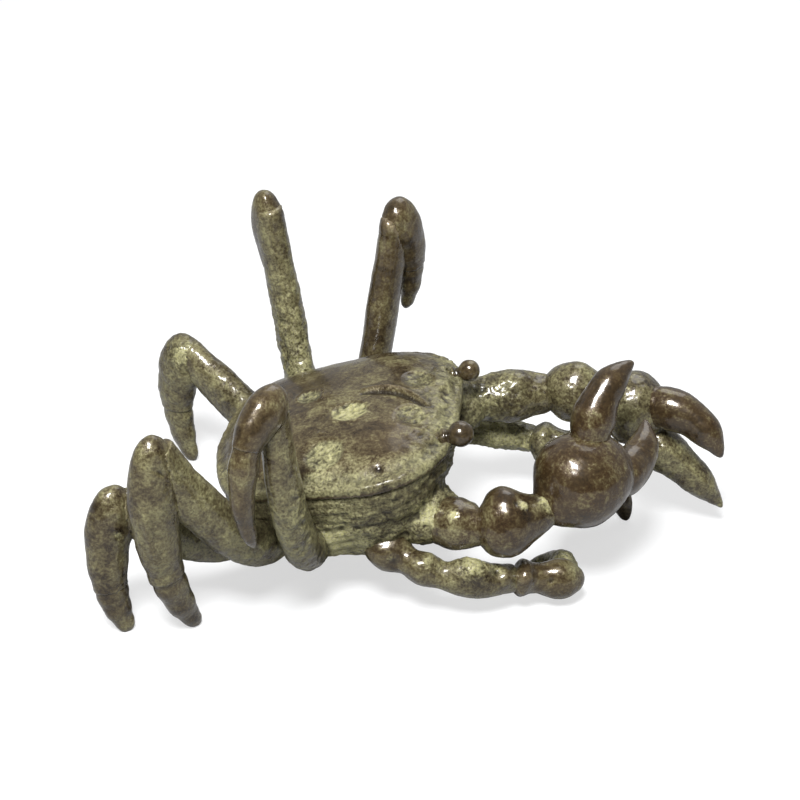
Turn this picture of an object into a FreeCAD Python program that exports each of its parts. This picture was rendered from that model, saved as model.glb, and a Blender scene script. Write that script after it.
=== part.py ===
import FreeCAD, Part
import Sketcher
import math
import os

os.makedirs("parts", exist_ok=True)
doc = FreeCAD.newDocument("BronzeCrab")
Vector = FreeCAD.Vector

# The crab faces +X, its left side is +Y, and it stands on the plane Z = 0.
# Every length is in millimetres. Names that end in share or shares hold ratios.
# The origin lies under the middle of the whole figure: shell_back and shell_right say how
# far behind and beside it the middle of the shell stands.
DRIVING_SIZES = {
    "shell_length": 36.0,
    "shell_width": 38.0,
    "shell_dome": 4.6,
    "shell_wall": 1.8,
    "rim_wall": 3.7,
    "rim_height": 21.0,
    "shell_back": 12.06,
    "shell_right": 1.25,
    "rim_lip": 1.1,
    "body_depth": 14.0,
    "seat_boss": 1.0,
    "seat_gap": 0.2,
    "spot_depth": 0.6,
    "spot_small": 4.0,
    "spot_medium": 5.3,
    "spot_large": 6.6,
    "eye_ball": 3.8,
    "eye_stalk": 2.2,
    "eye_collar": 2.8,
    "eye_reach": 4.25,
    "eye_bore": 2.77,
    "leg_spread": 28.0,
    "leg_rise": 46.0,
    "upper_girth": 6.6,
    "lower_girth": 7.0,
    "front_girth": 5.0,
    "shoulder_girth": 9.6,
    "arm_girth": 7.8,
    "wrist_girth": 10.6,
    "palm_girth": 14.6,
    "finger_girth": 6.8,
    "claw_reach": 58.0,
    "tenon_length": 1.2,
    "foot_filing": 0.3,
    "spare": 80.0,
}
PITCH_DEGREES = -13.2

sheet = doc.addObject("Spreadsheet::Sheet", "Sizes")
for row, (alias, value) in enumerate(DRIVING_SIZES.items(), start=1):
    sheet.set(f"A{row}", alias)
    sheet.set(f"B{row}", str(value))
    sheet.setAlias(f"B{row}", alias)
doc.recompute()


def size(alias):
    return float(sheet.get(alias))


datum = Vector(-size("shell_back"), -size("shell_right"), 0)


def bind(item, **formulas):
    for prop, formula in formulas.items():
        item.setExpression(prop, formula)
    return item


def new(kind, name):
    return doc.addObject(kind, name)


def cut(label, base, tool):
    result = new("Part::Cut", label)
    result.Base = base
    result.Tool = tool
    return result


def fuse(label, *pieces):
    result = new("Part::MultiFuse", label)
    result.Shapes = list(pieces)
    return result


def curve_point(line, along):
    """A limb's centre line runs from a start to an end, drawn towards a middle point."""
    start, middle, end = line
    back = 1 - along
    return start * back ** 2 + middle * (2 * back * along) + end * along ** 2


def curve_direction(line, along):
    start, middle, end = line
    return ((middle - start) * (1 - along) + (end - middle) * along).normalize()


def plane_normal(start, end):
    """Level direction square to the upright plane that a limb lies in."""
    return Vector(start.y - end.y, end.x - start.x, 0).normalize()


def oval(name, centre, direction, side, girth, share, flat_share):
    """An oval section square to the centre line, its long axis in the limb's own plane."""
    section = new("Part::Ellipse", name)
    bind(section, MajorRadius=f"Sizes.{girth} / 2 * {share:.4f}",
         MinorRadius=f"Sizes.{girth} / 2 * {share * flat_share:.4f}")
    across = side.cross(direction).normalize()
    turn = FreeCAD.Rotation(across, direction.cross(across), direction, "ZXY")
    section.Placement = FreeCAD.Placement(centre, turn)
    return section


def girth_share(profile_shares, along):
    """Girth between two stations of a profile, eased so that the limb swells smoothly."""
    for (start, first), (end, second) in zip(profile_shares, profile_shares[1:]):
        if along <= end:
            ease = (1 - math.cos(math.pi * (along - start) / (end - start))) / 2
            return first + (second - first) * ease
    return profile_shares[-1][1]


BLUNT_SHARE = 0.14


def limb(name, line, side, girth, profile_shares, build_share=1.0, flat_share=0.85,
         round_start_share=0.0, round_end_share=0.0, stations=10):
    """A solid limb: ovals strung along the centre line, with rounded or flat ends."""
    sections = []
    for number in range(stations + 1):
        step = number / stations
        if round_start_share and round_end_share:
            along = (1 - math.cos(math.pi * step)) / 2
        elif round_end_share:
            along = math.sin(math.pi / 2 * step)
        elif round_start_share:
            along = 1 - math.cos(math.pi / 2 * step)
        else:
            along = step
        share = girth_share(profile_shares, along) * build_share
        for gap, round_share in ((along, round_start_share), (1 - along, round_end_share)):
            if gap < round_share:
                share *= max(BLUNT_SHARE, math.sqrt(1 - (1 - gap / round_share) ** 2))
        sections.append(oval(f"{name}_oval_{number}", curve_point(line, along),
                             curve_direction(line, along), side, girth, share, flat_share))
    body = new("Part::Loft", name)
    body.Sections = sections
    body.Solid = True
    body.MaxDegree = 3
    return body


# Shell and body
# Half of the shell's plan, from the middle of the back edge to the middle of the brow,
# as shares of the shell's length and width. The body below follows the same plan.
PLAN_SHARES = [(-0.53, 0.0), (-0.505, 0.2), (-0.42, 0.385), (-0.22, 0.465), (0.0, 0.5),
               (0.19, 0.52), (0.33, 0.475), (0.44, 0.37), (0.485, 0.26), (0.5, 0.0)]
SHELL_RISE_SHARES = [(1.0, 1.0, 0.0), (0.955, 0.955, 0.14), (0.9, 0.9, 0.32),
                     (0.78, 0.78, 0.58), (0.6, 0.6, 0.81), (0.38, 0.38, 0.94), (0.12, 0.12, 1.0)]
BODY_DROP_SHARES = [(0.97, 0.97, 0.0), (0.965, 0.985, 0.12), (0.92, 0.95, 0.34),
                    (0.84, 0.88, 0.6), (0.73, 0.76, 0.84), (0.63, 0.65, 0.96), (0.53, 0.54, 1.0)]
BODY_TUCK_SHARE = 0.06
body_frame = FreeCAD.Placement(datum + Vector(0, 0, size("rim_height")),
                               FreeCAD.Rotation(Vector(0, 1, 0), PITCH_DEGREES))


def plan_wire(length_share, width_share, height, inset=0.0, tuck=0.0):
    length = (size("shell_length") - inset * 2) * length_share
    width = (size("shell_width") - inset * 2) * width_share
    left = [Vector(x * length - tuck, y * width, height) for x, y in PLAN_SHARES]
    right = [Vector(point.x, -point.y, point.z) for point in left[-2:0:-1]]
    curve = Part.BSplineCurve()
    curve.interpolate(left + right, PeriodicFlag=True)
    return Part.Wire(curve.toShape())


def in_body_frame(name, shape):
    piece = new("Part::Feature", name)
    piece.Shape = shape
    piece.Placement = body_frame
    return piece


def plan_loft(name, rise_shares, depth, inset=0.0, lift=0.0, tuck=0.0):
    wires = [plan_wire(length_share, width_share, lift + height_share * depth, inset,
                       tuck * height_share)
             for length_share, width_share, height_share in rise_shares]
    return in_body_frame(name, Part.makeLoft(wires, True))


def plan_slab(name, thickness, inset=0.0):
    face = Part.Face(plan_wire(1.0, 1.0, 0.0, inset))
    return in_body_frame(name, face.extrude(Vector(0, 0, thickness)))


lip = size("rim_lip")
rim_wall = size("rim_wall")
dome = plan_loft("shell_dome_form", SHELL_RISE_SHARES, size("shell_dome"), lift=lip)
lip_band = plan_slab("shell_lip_form", lip)
hollow = plan_loft("shell_hollow_form", SHELL_RISE_SHARES,
                   size("shell_dome") - size("shell_wall"), inset=rim_wall, lift=lip)
hollow_mouth = plan_slab("shell_mouth_form", lip, inset=rim_wall)
trunk = plan_loft("body_form", BODY_DROP_SHARES, -size("body_depth"),
                  tuck=BODY_TUCK_SHARE * size("shell_length"))
boss = plan_slab("body_boss_form", size("seat_boss"), inset=rim_wall + size("seat_gap"))


def shell_top(x, y):
    """Height of the shell's outer face over a point of its plan."""
    post = Part.makeLine(Vector(x, y, lip), Vector(x, y, size("spare")))
    local = dome.Shape.copy()
    local.Placement = FreeCAD.Placement()
    return max(vertex.Z for vertex in local.common(post).Vertexes)


# Five shallow round spots are sunk in the shell: place along and across, and size.
SPOT_SHARES = [(-0.11, 0.05, "spot_small"), (0.08, -0.11, "spot_medium"),
               (-0.005, -0.34, "spot_large"), (0.33, -0.16, "spot_medium"),
               (0.335, 0.11, "spot_medium")]


def spot(number, along_share, across_share, girth):
    lens = new("Part::Ellipsoid", f"spot_{number}")
    bind(lens, Radius1="Sizes.spot_depth", Radius2=f"Sizes.{girth} / 2",
         Radius3=f"Sizes.{girth} / 2")
    x = along_share * size("shell_length")
    y = across_share * size("shell_width")
    step = size(girth) / 4
    slope_x = (shell_top(x + step, y) - shell_top(x - step, y)) / (2 * step)
    slope_y = (shell_top(x, y + step) - shell_top(x, y - step)) / (2 * step)
    tilt = FreeCAD.Rotation(Vector(0, 0, 1), Vector(-slope_x, -slope_y, 1))
    lens.Placement = body_frame.multiply(
        FreeCAD.Placement(Vector(x, y, shell_top(x, y)), tilt))
    return lens


spots = [spot(number, *row) for number, row in enumerate(SPOT_SHARES, start=1)]

# Eyes: a turned ball on a short collared stalk, set in a blind bore in the brow, whose
# edge lies at these shares of the shell's length and width.
EYE_BROW_SHARES = (0.487, 0.245)
EYE_RISE_SHARE = 0.1
COLLAR_SHARES = (0.36, 0.52)


def eye(label, side_sign):
    body = new("PartDesign::Body", label)
    profile = body.newObject("Sketcher::SketchObject", f"{label}_profile")
    plane = next(item for item in body.Origin.OriginFeatures if item.Role == "XZ_Plane")
    profile.AttachmentSupport = [(plane, "")]
    profile.MapMode = "FlatFace"
    ball, stalk, collar, reach = (
        size(f"eye_{part}") / 2 for part in ("ball", "stalk", "collar", "reach"))
    low, high = (share * 2 * reach for share in COLLAR_SHARES)
    neck = 2 * reach - math.sqrt(ball ** 2 - stalk ** 2)
    corners = [Vector(0, 0, 0), Vector(stalk, 0, 0), Vector(stalk, low, 0),
               Vector(collar, low, 0), Vector(collar, high, 0), Vector(stalk, high, 0),
               Vector(stalk, neck, 0)]
    for first, second in zip(corners, corners[1:]):
        profile.addGeometry(Part.LineSegment(first, second), False)
    centre = Vector(0, 2 * reach, 0)
    start = math.atan2(neck - 2 * reach, stalk)
    circle = Part.Circle(centre, Vector(0, 0, 1), ball)
    arc = profile.addGeometry(Part.ArcOfCircle(circle, start, math.pi / 2), False)
    axis = profile.addGeometry(
        Part.LineSegment(centre + Vector(0, ball, 0), Vector(0, 0, 0)), False)
    for edge in range(arc):
        profile.addConstraint(Sketcher.Constraint(
            "Horizontal" if edge % 2 == 0 else "Vertical", edge))
        profile.addConstraint(Sketcher.Constraint("Coincident", edge, 2, edge + 1, 1))
    profile.addConstraint(Sketcher.Constraint("Coincident", arc, 2, axis, 1))
    profile.addConstraint(Sketcher.Constraint("Coincident", axis, 2, 0, 1))
    profile.addConstraint(Sketcher.Constraint("Coincident", 0, 1, -1, 1))
    profile.addConstraint(Sketcher.Constraint("PointOnObject", arc, 3, -2))
    profile.addConstraint(Sketcher.Constraint("Vertical", axis))
    sizes = (("DistanceX", (-1, 1, 1, 1), stalk, "Sizes.eye_stalk / 2"),
             ("DistanceX", (-1, 1, 3, 1), collar, "Sizes.eye_collar / 2"),
             ("DistanceX", (-1, 1, 5, 1), stalk, "Sizes.eye_stalk / 2"),
             ("DistanceY", (-1, 1, 1, 2), low, f"Sizes.eye_reach * {COLLAR_SHARES[0]}"),
             ("DistanceY", (-1, 1, 3, 2), high, f"Sizes.eye_reach * {COLLAR_SHARES[1]}"),
             ("DistanceY", (-1, 1, arc, 3), 2 * reach, "Sizes.eye_reach"))
    for kind, ends, value, formula in sizes:
        row = profile.addConstraint(Sketcher.Constraint(kind, *ends, value))
        profile.setExpression(f"Constraints[{row}]", formula)
    row = profile.addConstraint(Sketcher.Constraint("Radius", arc, ball))
    profile.setExpression(f"Constraints[{row}]", "Sizes.eye_ball / 2")
    turned = body.newObject("PartDesign::Revolution", f"{label}_turned")
    turned.Profile = profile
    turned.ReferenceAxis = (profile, ["V_Axis"])
    turned.Angle = 360
    brow_share, outward_share = EYE_BROW_SHARES
    seat = Vector(brow_share * size("shell_length") - size("eye_bore"),
                  side_sign * outward_share * size("shell_width"),
                  size("eye_collar") / 2)
    lean = FreeCAD.Rotation(Vector(0, 0, 1), Vector(1, 0, EYE_RISE_SHARE))
    body.Placement = body_frame.multiply(FreeCAD.Placement(seat, lean))
    return body


eyes = [eye("eye_right", -1), eye("eye_left", 1)]

# Walking legs
# A row starts with the limb's root in the body, in the body's own tilted frame: shares of
# the shell's length forward, the shell's width outward and the body's depth down from the
# rim. Then come the point that draws the limb outward, knee, ankle and tip: shares of the
# shell's length forward, the leg spread outward and the leg rise upward.
LEG_PLACE_SHARES = {
    "right_2": ((-0.105, 0.339, 0.701), (-0.11, 0.9, 0.2), (-0.175, 0.89, 0.845),
                (-0.255, 1.05, 0.765), (-0.245, 1.02, 0.41)),
    "right_3": ((-0.251, 0.332, 0.613), (-0.33, 0.74, 0.19), (-0.625, 0.945, 0.695),
                (-0.615, 0.905, 0.24), (-0.525, 0.76, 0.0)),
    "right_4": ((-0.387, 0.287, 0.531), (-0.5, 0.64, 0.17), (-0.815, 0.82, 0.46),
                (-0.855, 0.86, 0.165), (-0.79, 0.845, 0.0)),
    "left_2": ((-0.051, 0.339, 0.733), (0.02, 0.95, 0.2), (0.145, 1.0, 0.94),
               (0.205, 1.108, 0.74), (0.175, 1.115, 0.56)),
    "left_3": ((-0.251, 0.332, 0.613), (-0.25, 0.95, 0.17), (-0.415, 1.0, 0.955),
               (-0.385, 1.16, 0.64), (-0.31, 1.14, 0.45)),
    "left_4": ((-0.382, 0.287, 0.467), (-0.5, 0.68, 0.27), (-0.775, 0.82, 0.44),
               (-0.84, 0.86, 0.215), (-0.77, 0.83, 0.0)),
}
LEG_BUILD_SHARES = [("right_2", 0.96), ("right_3", 1.06), ("right_4", 1.0),
                    ("left_2", 1.0), ("left_3", 0.98), ("left_4", 1.12)]
UPPER_SHARES = [(0.0, 0.72), (0.3, 1.0), (0.65, 0.98), (1.0, 0.84)]
UPPER_FLAT_SHARE = 0.74
LOWER_SHARES = [(0.0, 0.74), (0.4, 1.0), (0.7, 0.9), (1.0, 0.74)]
TIP_SHARES = [(0.0, 0.6), (0.2, 0.69), (0.5, 0.6), (0.8, 0.42), (1.0, 0.3)]
ROUND_KNUCKLE_SHARE = 0.17
ROUND_TIP_SHARE = 0.14
LOWER_FLAT_SHARE = 0.78
KNUCKLE_SHARE = 0.4
TIP_HOOK_SHARE = 0.45


def body_point(side_sign, shares):
    forward, outward, drop = shares
    return body_frame.multVec(Vector(forward * size("shell_length"),
                                     side_sign * outward * size("shell_width"),
                                     -drop * size("body_depth")))


def leg_point(side_sign, shares):
    forward, outward, upward = shares
    height = upward * size("leg_rise") if upward else -size("foot_filing")
    return datum + Vector(forward * size("shell_length"),
                          side_sign * outward * size("leg_spread"), height)


def walking_leg(name):
    """Upper limb, lower limb with its knuckle, and claw-like tip of one walking leg."""
    side_sign = 1 if name.startswith("left") else -1
    build_share = dict(LEG_BUILD_SHARES)[name]
    root_shares, *outer_shares = LEG_PLACE_SHARES[name]
    root = body_point(side_sign, root_shares)
    bend, knee, ankle, tip = (leg_point(side_sign, shares) for shares in outer_shares)
    side = plane_normal(root, knee)
    shin = (ankle - knee).normalize()
    heel = (shin + (tip - ankle).normalize()).normalize()
    knuckle = knee - shin * (KNUCKLE_SHARE * size("lower_girth"))
    sag = ankle - heel * ((ankle - knuckle).Length / 2)
    toe_start = ankle - heel * size("tenon_length")
    toe_bend = ankle + heel * (TIP_HOOK_SHARE * (tip - ankle).Length)
    upper = limb(f"leg_{name}_upper_form", (root, bend, knee), side, "upper_girth",
                 UPPER_SHARES, build_share, UPPER_FLAT_SHARE)
    lower = limb(f"leg_{name}_lower_form", (knuckle, sag, ankle), side, "lower_girth",
                 LOWER_SHARES, build_share, LOWER_FLAT_SHARE,
                 round_start_share=ROUND_KNUCKLE_SHARE)
    toe = limb(f"leg_{name}_tip_form", (toe_start, toe_bend, tip), side, "lower_girth",
               TIP_SHARES, build_share, LOWER_FLAT_SHARE, round_end_share=ROUND_TIP_SHARE)
    return upper, lower, toe


# The front pair lies forward under the claws: beaded limbs that end in a folded tip.
FRONT_PLACE_SHARES = {
    "right_1": ((0.111, 0.339, 0.814), (0.45, 0.73, 0.15), (0.73, 0.47, 0.12),
                (0.86, 0.43, 0.1), (1.02, 0.37, 0.085), (0.96, 0.12, 0.09), (0.765, 0.135, 0.0)),
    "left_1": ((0.127, 0.328, 0.807), (0.47, 0.7, 0.27), (0.78, 0.62, 0.235),
               (0.93, 0.58, 0.235), (1.07, 0.535, 0.21), (1.17, 0.5, 0.13), (1.195, 0.43, 0.0)),
}
FRONT_UPPER_SHARES = [(0.0, 0.95), (0.12, 1.3), (0.25, 0.88), (0.37, 1.06), (0.5, 0.84),
                      (0.75, 1.08), (1.0, 0.92)]
FRONT_LOWER_SHARES = [(0.0, 0.5), (0.12, 0.58), (0.24, 1.1), (0.38, 0.92), (0.68, 1.26),
                      (1.0, 1.1)]
FRONT_TIP_SHARES = [(0.0, 0.75), (0.3, 0.92), (0.7, 0.7), (1.0, 0.4)]
FRONT_FOLD_SHARE = 0.72
FRONT_ROUND_SHARE = 0.3


def front_leg(name):
    side_sign = 1 if name.startswith("left") else -1
    root_shares, *outer_shares = FRONT_PLACE_SHARES[name]
    root = body_point(side_sign, root_shares)
    bend, joint, middle, end, tip_bend, tip = (
        leg_point(side_sign, shares) for shares in outer_shares)
    side = plane_normal(root, joint)
    along = (middle - joint).normalize()
    lower_start = joint - along * size("tenon_length")
    tip_start = joint + (end - joint) * FRONT_FOLD_SHARE
    upper = limb(f"leg_{name}_upper_form", (root, bend, joint), side, "front_girth",
                 FRONT_UPPER_SHARES, stations=16)
    lower = limb(f"leg_{name}_lower_form", (lower_start, middle, end), side, "front_girth",
                 FRONT_LOWER_SHARES, round_end_share=FRONT_ROUND_SHARE, stations=12)
    toe = limb(f"leg_{name}_tip_form", (tip_start, tip_bend, tip), plane_normal(tip_start, tip),
               "front_girth", FRONT_TIP_SHARES, round_end_share=ROUND_TIP_SHARE)
    return upper, lower, toe


# Claws
# An arm's root is in the body's own frame, as a leg's is. The other places are shares of
# the claw reach forward, the shell's width outward and the rim's height upward.
RIGHT_ROOT_SHARE = (0.27, 0.26, 0.579)
LEFT_ROOT_SHARE = (0.291, 0.29, 0.437)
RIGHT_CLAW_SHARES = {
    "arm": ((0.293, 0.38, 0.66), (0.38, 0.35, 0.71)),
    "wrist": ((0.36, 0.355, 0.705), (0.448, 0.355, 0.7), (0.53, 0.256, 0.74)),
    "palm": ((0.515, 0.27, 0.72), (0.603, 0.18, 0.857), (0.70, 0.082, 1.105)),
    "fixed": ((0.66, 0.14, 0.85), (0.785, 0.05, 0.85), (0.77, -0.125, 1.09)),
    "finger": ((0.63, 0.14, 1.07), (0.62, 0.08, 1.48), (0.728, -0.05, 1.62)),
}
LEFT_CLAW_SHARES = {
    "arm": ((0.38, 0.45, 0.97), (0.545, 0.426, 0.93)),
    "wrist": ((0.505, 0.427, 0.93), (0.61, 0.44, 1.0), (0.69, 0.405, 0.92)),
    "palm": ((0.665, 0.4, 0.94), (0.73, 0.367, 0.94), (0.83, 0.325, 0.885)),
    "fixed": ((0.74, 0.35, 0.76), (0.88, 0.32, 0.56), (0.998, 0.303, 0.17)),
    "finger": ((0.745, 0.345, 0.976), (0.914, 0.282, 1.07), (0.976, 0.205, 0.705)),
}
RIGHT_BUILD_SHARES = [("arm", 1.0), ("wrist", 1.0), ("palm", 1.0), ("fixed", 1.05),
                      ("finger", 1.0)]
LEFT_BUILD_SHARES = [("arm", 0.98), ("wrist", 0.9), ("palm", 0.8), ("fixed", 1.05),
                     ("finger", 1.0)]
SHOULDER_REACH_SHARE = 0.2
SHOULDER_LENGTH_SHARE = 0.9
ARM_SHARES = [(0.0, 0.6), (0.25, 0.82), (0.6, 1.0), (1.0, 0.78)]
WRIST_SHARES = [(0.0, 0.8), (0.4, 1.0), (1.0, 0.44)]
PALM_SHARES = [(0.0, 0.5), (0.45, 1.0), (1.0, 0.9)]
FIXED_SHARES = [(0.0, 0.7), (0.3, 1.0), (0.6, 0.78), (1.0, 0.3)]
FINGER_SHARES = [(0.0, 0.7), (0.3, 1.0), (0.65, 0.8), (1.0, 0.36)]
CLAW_ROUND_SHARES = {"arm": (0.0, 0.12), "wrist": (0.22, 0.0), "palm": (0.2, 0.45),
                     "fixed": (0.0, 0.2), "finger": (0.0, 0.2)}
CLAW_PROFILES = {"arm": ("arm_girth", ARM_SHARES), "wrist": ("wrist_girth", WRIST_SHARES),
                 "palm": ("palm_girth", PALM_SHARES), "fixed": ("finger_girth", FIXED_SHARES),
                 "finger": ("finger_girth", FINGER_SHARES)}
CLAW_FLAT_SHARE = 0.94


def shoulder(side_name, centre):
    """The swelling of the body from which a claw's arm grows."""
    lump = new("Part::Ellipsoid", f"shoulder_{side_name}_form")
    bind(lump, Radius1=f"Sizes.shoulder_girth / 2 * {SHOULDER_LENGTH_SHARE}",
         Radius2="Sizes.shoulder_girth / 2", Radius3="Sizes.shoulder_girth / 2")
    lump.Placement.Base = centre
    return lump


def claw_point(side_sign, shares):
    forward, outward, upward = shares
    return datum + Vector(forward * size("claw_reach"),
                          side_sign * outward * size("shell_width"),
                          upward * size("rim_height"))


def claw(side_name, side_sign, root_share, place_shares, build_shares):
    forms = {}
    for part, places in place_shares.items():
        line = [claw_point(side_sign, shares) for shares in places]
        if part == "arm":
            line.insert(0, body_point(side_sign, root_share))
            forms["shoulder"] = shoulder(side_name, curve_point(line, SHOULDER_REACH_SHARE))
        girth, profile_shares = CLAW_PROFILES[part]
        forms[part] = limb(f"claw_{side_name}_{part}_form", line,
                           plane_normal(line[0], line[2]), girth, profile_shares,
                           dict(build_shares)[part], CLAW_FLAT_SHARE, *CLAW_ROUND_SHARES[part])
    return forms


# Every piece has its root seated in a socket of the piece that carries it, and the feet
# are filed flat where they touch the ground.
pieces = []
leg_roots = []
arm_roots = []
shoulders = []
ground = bind(new("Part::Box", "ground_form"), Length="Sizes.spare * 2",
              Width="Sizes.spare * 2", Height="Sizes.spare")
ground.Placement.Base = Vector(-size("spare"), -size("spare"), -size("spare"))

for leg_name in ("right_1", "right_2", "right_3", "right_4",
                 "left_1", "left_2", "left_3", "left_4"):
    build_leg = front_leg if leg_name.endswith("1") else walking_leg
    upper, lower, toe = build_leg(leg_name)
    if leg_name.endswith("1"):
        pieces.append(cut(f"leg_{leg_name}_tip", cut(f"leg_{leg_name}_tip_trim", toe, lower),
                          ground))
        pieces.append(lower)
    else:
        standing = LEG_PLACE_SHARES[leg_name][-1][-1] == 0
        pieces.append(cut(f"leg_{leg_name}_tip", toe, ground) if standing else toe)
        pieces.append(cut(f"leg_{leg_name}_lower", lower, toe))
    pieces.append(cut(f"leg_{leg_name}_upper", upper, lower))
    leg_roots.append(upper)

for side_name, *claw_values in (
        ("right", -1, RIGHT_ROOT_SHARE, RIGHT_CLAW_SHARES, RIGHT_BUILD_SHARES),
        ("left", 1, LEFT_ROOT_SHARE, LEFT_CLAW_SHARES, LEFT_BUILD_SHARES)):
    forms = claw(side_name, *claw_values)
    hand = fuse(f"claw_{side_name}_hand", forms["palm"], forms["fixed"])
    pieces.append(forms["finger"])
    pieces.append(cut(f"claw_{side_name}_palm", hand, forms["finger"]))
    pieces.append(cut(f"claw_{side_name}_wrist", forms["wrist"], forms["palm"]))
    pieces.append(cut(f"claw_{side_name}_arm", forms["arm"], forms["wrist"]))
    arm_roots.append(forms["arm"])
    shoulders.append(forms["shoulder"])

solid_shell = fuse("shell_form", dome, lip_band)
shell_space = fuse("shell_space_form", hollow, hollow_mouth)
shell_cuts = new("Part::Compound", "shell_cuts")
shell_cuts.Links = spots + eyes
pieces.append(cut("carapace", cut("shell_hollowed", solid_shell, shell_space), shell_cuts))
body = fuse("body_with_boss", trunk, boss, *shoulders)
for number, root in enumerate(arm_roots + leg_roots, start=1):
    body = cut(f"body_socket_{number}", body, root)
body.Label = "underbody"
pieces.append(body)
pieces.extend(eyes)
doc.recompute()

failed = [item.Name for item in doc.Objects
          if "Invalid" in item.State or "Error" in item.State]
if failed:
    raise RuntimeError(f"these objects failed: {failed}")

for piece in pieces:
    if piece.Label.endswith("_form"):
        piece.Label = piece.Label.removesuffix("_form")

unsound = [piece.Label for piece in pieces if piece.Shape.isNull()
           or not piece.Shape.isValid() or len(piece.Shape.Solids) != 1]
if unsound:
    raise RuntimeError(f"these pieces aren't one sound solid: {unsound}")

for piece in pieces:
    piece.Shape.exportStep(f"parts/{piece.Label}.step")
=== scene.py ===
import math
import bmesh
import bpy
import numpy as np
from mathutils import Matrix, Vector, noise
from mathutils.bvhtree import BVHTree


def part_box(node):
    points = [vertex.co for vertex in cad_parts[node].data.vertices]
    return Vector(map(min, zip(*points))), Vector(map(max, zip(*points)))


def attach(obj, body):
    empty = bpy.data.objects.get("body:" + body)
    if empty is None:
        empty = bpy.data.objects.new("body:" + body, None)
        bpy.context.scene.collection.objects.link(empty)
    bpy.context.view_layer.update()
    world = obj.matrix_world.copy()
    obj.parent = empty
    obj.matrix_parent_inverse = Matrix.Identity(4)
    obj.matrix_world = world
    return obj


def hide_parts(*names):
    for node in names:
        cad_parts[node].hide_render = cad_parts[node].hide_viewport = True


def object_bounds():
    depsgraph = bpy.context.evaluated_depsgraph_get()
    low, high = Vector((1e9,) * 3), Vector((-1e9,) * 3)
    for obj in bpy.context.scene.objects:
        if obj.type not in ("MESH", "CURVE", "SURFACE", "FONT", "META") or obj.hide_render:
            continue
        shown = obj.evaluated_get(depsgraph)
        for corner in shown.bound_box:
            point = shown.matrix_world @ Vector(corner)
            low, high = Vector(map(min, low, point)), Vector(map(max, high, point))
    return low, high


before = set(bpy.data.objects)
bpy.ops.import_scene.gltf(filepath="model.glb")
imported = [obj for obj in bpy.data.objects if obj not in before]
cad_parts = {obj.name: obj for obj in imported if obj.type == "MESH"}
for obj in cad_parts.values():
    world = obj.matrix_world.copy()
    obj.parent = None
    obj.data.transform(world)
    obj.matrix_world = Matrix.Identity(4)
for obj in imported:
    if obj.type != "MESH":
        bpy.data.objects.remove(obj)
cad_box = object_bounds()
MM = 0.001

# Carapace
# The shell is a thin domed casting with a rolled rim, five sunken spots and a raised
# crescent crease. The wax it was cast from was worked by hand, and the bronze is
# patinated brown, rubbed on top with a painted highlight on its proud edges, and left
# green and crusty in its hollows, which are also darkened with painted shade.
SHELL_SEAT = np.array([-12.06, -1.25, 21.0]) * MM
SHELL_PITCH = math.radians(-13.2)
SHELL_LENGTH = 36.0 * MM
SHELL_WIDTH = 38.0 * MM
SHELL_GRAIN = 0.3 * MM
# Heights in mm of what the surface shows, or depths where the name says so.
RIM_BEAD = 0.24
RIM_GROOVE_DEPTH = 0.14
RIM_ROUGHNESS = 0.12
BROW_ROUGHNESS = 0.34
SHELL_UNEVENNESS = 0.12
CREASE_WIDTH = 0.45
CREASE_HEIGHT = 0.85
CREASE_DEPTH = 0.5
SPOT_LIP = 0.12
SPOT_ROUGHNESS = 0.16
SPOT_FILLING = 0.1
# The brow's lump, the pit by the near rim and the nib beside the spots.
SHELL_LUMPS = [((2.6, 3.2, 27.6), 1.8, 0.7), ((-4.9, -18.3, 25.4), 0.55, -0.4),
               ((-14.2, -10.2, 25.9), 0.4, 0.3)]
# How green or crusted the shell is at least, along its rim and at its front.
SHELL_GREEN = 0.22
RIM_GREEN = 0.45
FRONT_GREEN = 0.3
RIM_CRUST = 0.2
UNDERSIDE_GREEN = 0.15
CREASE = ([-9.8, 0.2, 27.4], [-4.0, 0.9, 28.6], [1.2, -4.4, 28.0])
SPOT_PLACES = {"tail": (-17.1, 0.7, 24.9), "middle": (-10.4, -5.7, 26.5),
               "side": (-13.0, -14.6, 24.6), "front_right": (-1.4, -6.9, 27.5),
               "front_left": (-1.3, 3.1, 27.5)}
# Patches: place and reach in mm, and strength.
SHELL_GREENS = [((-10.2, -20.0, 23.0), 4.0, 0.2), ((6.5, 6.0, 25.5), 4.0, 0.25),
                ((-4.0, -12.0, 26.5), 4.5, -0.25), ((-20.0, 6.0, 23.0), 6.0, -0.1)]
SHELL_CRUSTS = [((-6.0, -16.5, 25.6), 1.4, 0.3), ((-14.0, -19.0, 22.5), 2.5, 0.25),
                ((-10.4, -5.7, 26.5), 2.4, 0.35), ((-13.0, -14.6, 24.6), 2.6, 0.1)]
SPOT_REACH = {"tail": 1.9, "middle": 2.5, "side": 2.8, "front_right": 2.1, "front_left": 2.2}
SPOT_GREENS = {"tail": 0.65, "middle": 0.8, "side": 0.7, "front_right": 0.35, "front_left": 0.4}
SPOT_CRUSTS = {"tail": 0.42, "middle": 0.66, "side": 0.36, "front_right": 0.32, "front_left": 0.3}
# Rounds of averaging that tell a hollow from a proud place.
HOLLOW_ROUNDS = 14
# How far beyond its gap a joint is filled, and how thick its filling stands.
JOINT_REACH = 0.7 * MM
JOINT_FILL = 0.14 * MM
# Umber is the patina's darkest tone, also painted into hollows as shade.
UMBER = (0.014, 0.010, 0.006, 1)
BROWN = (0.095, 0.066, 0.031, 1)
WARM_BROWN = (0.056, 0.029, 0.010, 1)
# Rubbed bronze, also painted on proud edges as a highlight.
RUBBED_AND_HIGHLIGHT = (0.29, 0.23, 0.15, 1)
DARK_OLIVE = (0.060, 0.056, 0.030, 1)
OLIVE = (0.275, 0.262, 0.132, 1)
YELLOW_GREEN = (0.40, 0.39, 0.14, 1)
PALE_CRUST = (0.48, 0.45, 0.30, 1)
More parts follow.
